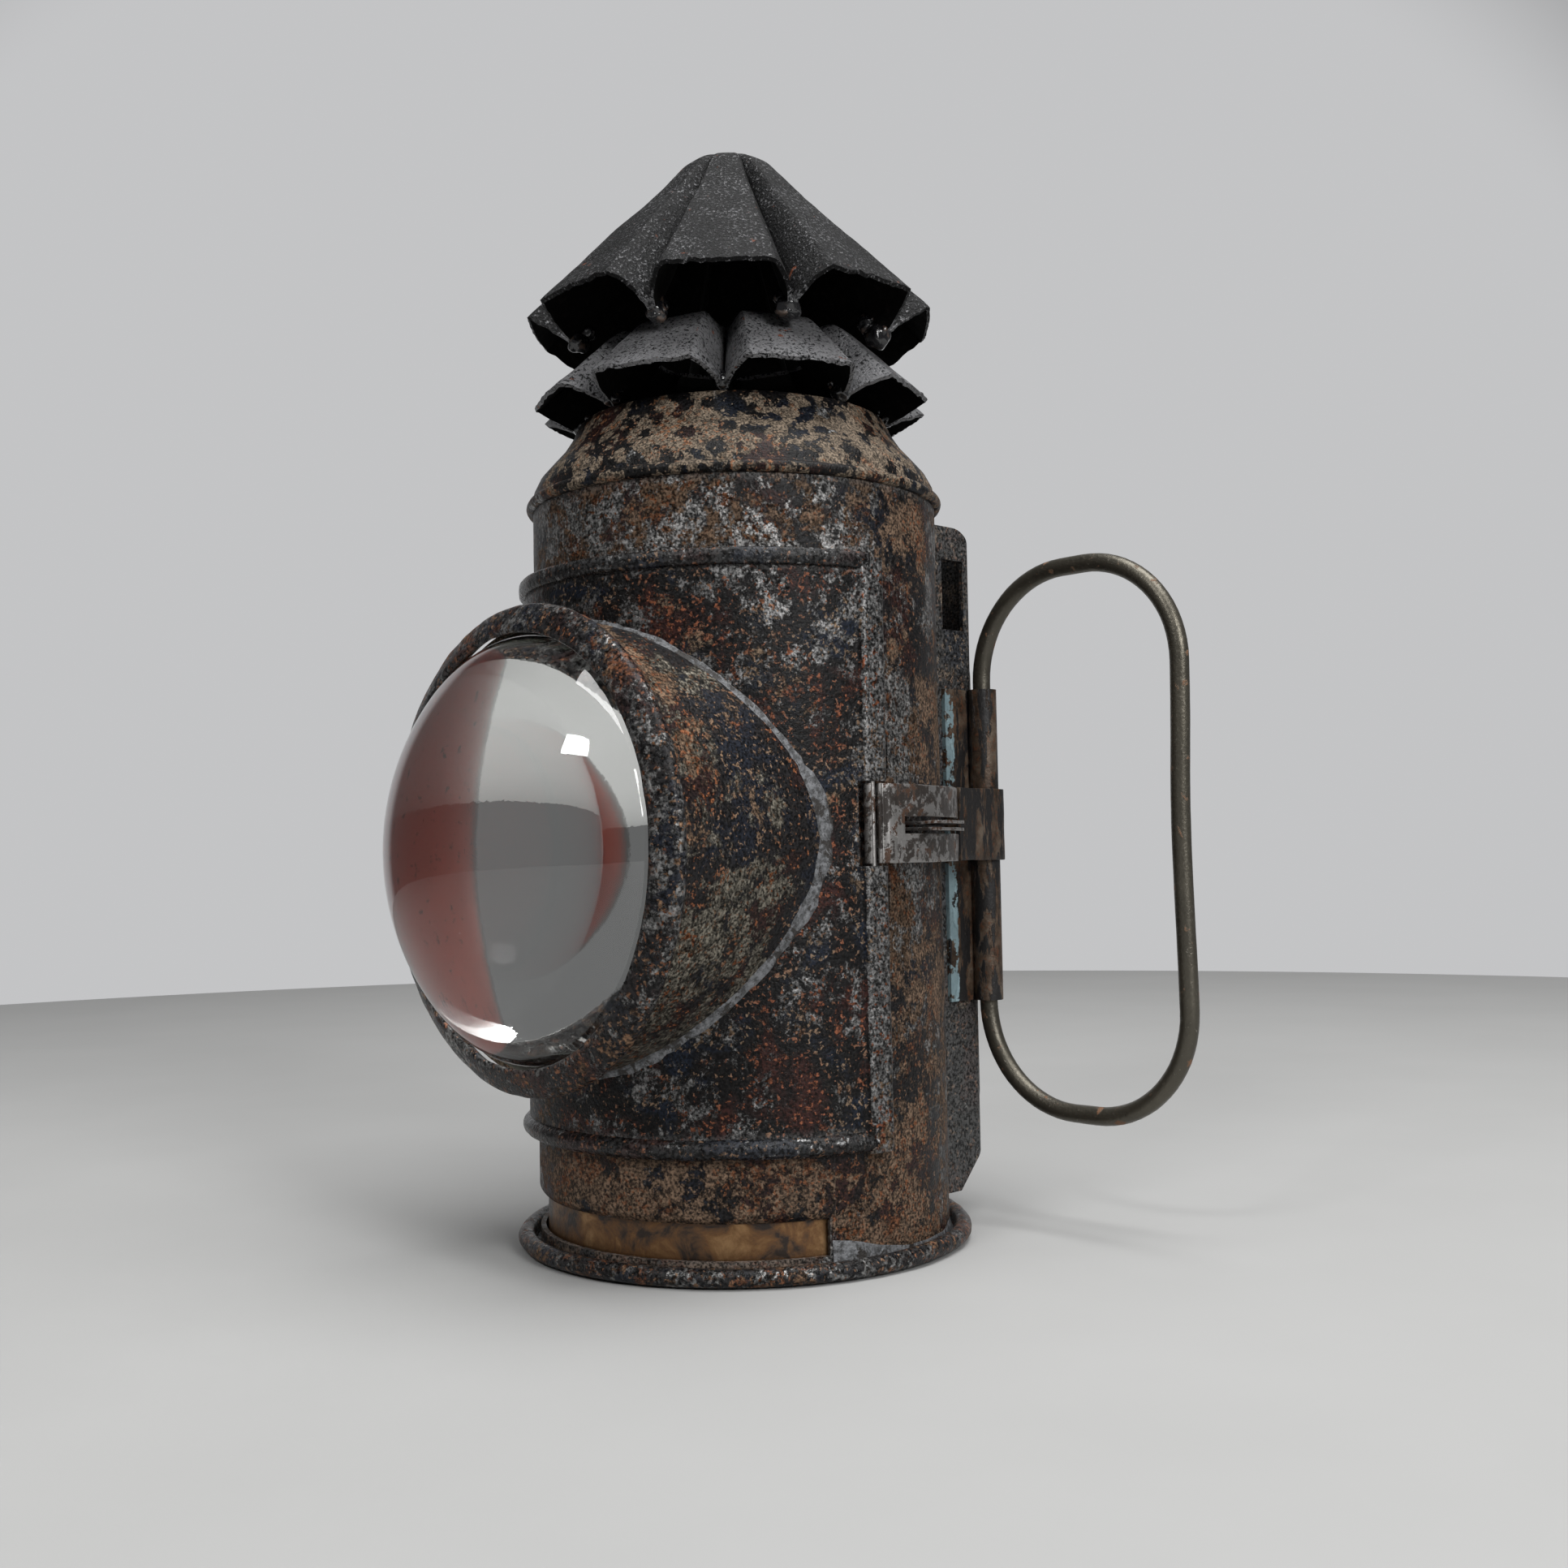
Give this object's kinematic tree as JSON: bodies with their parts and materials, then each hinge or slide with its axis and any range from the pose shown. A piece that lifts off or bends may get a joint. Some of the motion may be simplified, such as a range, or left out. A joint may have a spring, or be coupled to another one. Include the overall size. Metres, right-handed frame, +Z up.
{
  "type": "candle lantern",
  "caption": "Tin hand lantern with a bull's-eye lens in a swinging door, a turning colour-filter drum, a crimped vented cap, folding wire handles and a belt clip.",
  "frame": {"origin": "on the body's axis, in the plane that the base stands on", "axes": "+Z up along the body, -Y along the lens axis, +X to the side with the hasp"},
  "size_m": [0.1268, 0.1063, 0.1834],
  "materials": {
    "rusty_tin": "worn paint over rusted tin",
    "dark_tin": "worn black paint with rust speckle",
    "black_paint": "matte black paint",
    "brown_tin": "brown aged tin with traces of pale blue",
    "brassy_tin": "tarnished",
    "solder": "dull grey solder",
    "worn_steel": "worn dark steel",
    "wire_steel": "dark satin wire",
    "clear_glass": "polished thick lens",
    "red_glass": "coloured pane",
    "green_glass": "pale grey-green pane",
    "wax": "candle wax",
    "wick_cotton": "charred cotton"
  },
  "bodies": {
    "lantern_body": {"base_plate": "rusty_tin", "body_shell": "rusty_tin", "front_lower_band": "rusty_tin", "shoulder_cone": "rusty_tin", "cap_lower_tier": "black_paint", "cap_upper_tier": "black_paint", "cap_solder_lower": "black_paint", "cap_solder_upper": "black_paint", "base_solder_fillet": "solder", "candle_socket": "rusty_tin", "candle": "wax", "wick": "wick_cotton", "hinge_knuckles_body": "worn_steel", "hinge_pins": "worn_steel", "staple_tab": "worn_steel", "keeper_strap": "brown_tin", "back_channel": "dark_tin", "belt_clip": "dark_tin", "clip_rivets": "worn_steel", "handle_sleeve_right": "brown_tin", "handle_sleeve_left": "brown_tin"},
    "door": {"door_panel": "dark_tin", "door_top_bead": "dark_tin", "door_bottom_bead": "dark_tin", "hinge_knuckles_door": "worn_steel", "lens_housing": "dark_tin", "housing_solder_seam": "solder", "lens_bezel": "dark_tin", "lens_glass": "clear_glass", "lens_retainer": "rusty_tin", "hasp_pin": "worn_steel"},
    "hasp": {"hasp_fork": "worn_steel"},
    "drum": {"drum_collar": "brassy_tin", "drum_top_ring": "rusty_tin", "drum_posts": "rusty_tin", "red_pane": "red_glass", "green_pane": "green_glass"},
    "right_handle": {"handle_right": "wire_steel"},
    "left_handle": {"handle_left": "wire_steel"}
  },
  "joints": [
    {"name": "door_swing", "type": "hinge", "parent": "lantern_body", "child": "door", "pos_m": [-0.0377, 0, 0.063], "axis": [0, 0, 1], "range_deg": [-110, 0]},
    {"name": "hasp_swing", "type": "hinge", "parent": "door", "child": "hasp", "pos_m": [0.03535, -0.00465, 0.06755], "axis": [0, 0, 1], "range_deg": [-110, 0]},
    {"name": "drum_turn", "type": "hinge", "parent": "lantern_body", "child": "drum", "pos_m": [0, 0, 0.055], "axis": [0, 0, 1], "continuous": true},
    {"name": "right_handle_swing", "type": "hinge", "parent": "lantern_body", "child": "right_handle", "pos_m": [0.02125, 0.039, 0.065], "axis": [0, 0, 1], "range_deg": [-30, 95]},
    {"name": "left_handle_swing", "type": "hinge", "parent": "lantern_body", "child": "left_handle", "pos_m": [-0.02125, 0.039, 0.065], "axis": [0, 0, -1], "range_deg": [-30, 95]}
  ],
  "couplings": [
    {"joint": "hasp_swing", "follows": "door_swing", "ratio": 1}
  ]
}
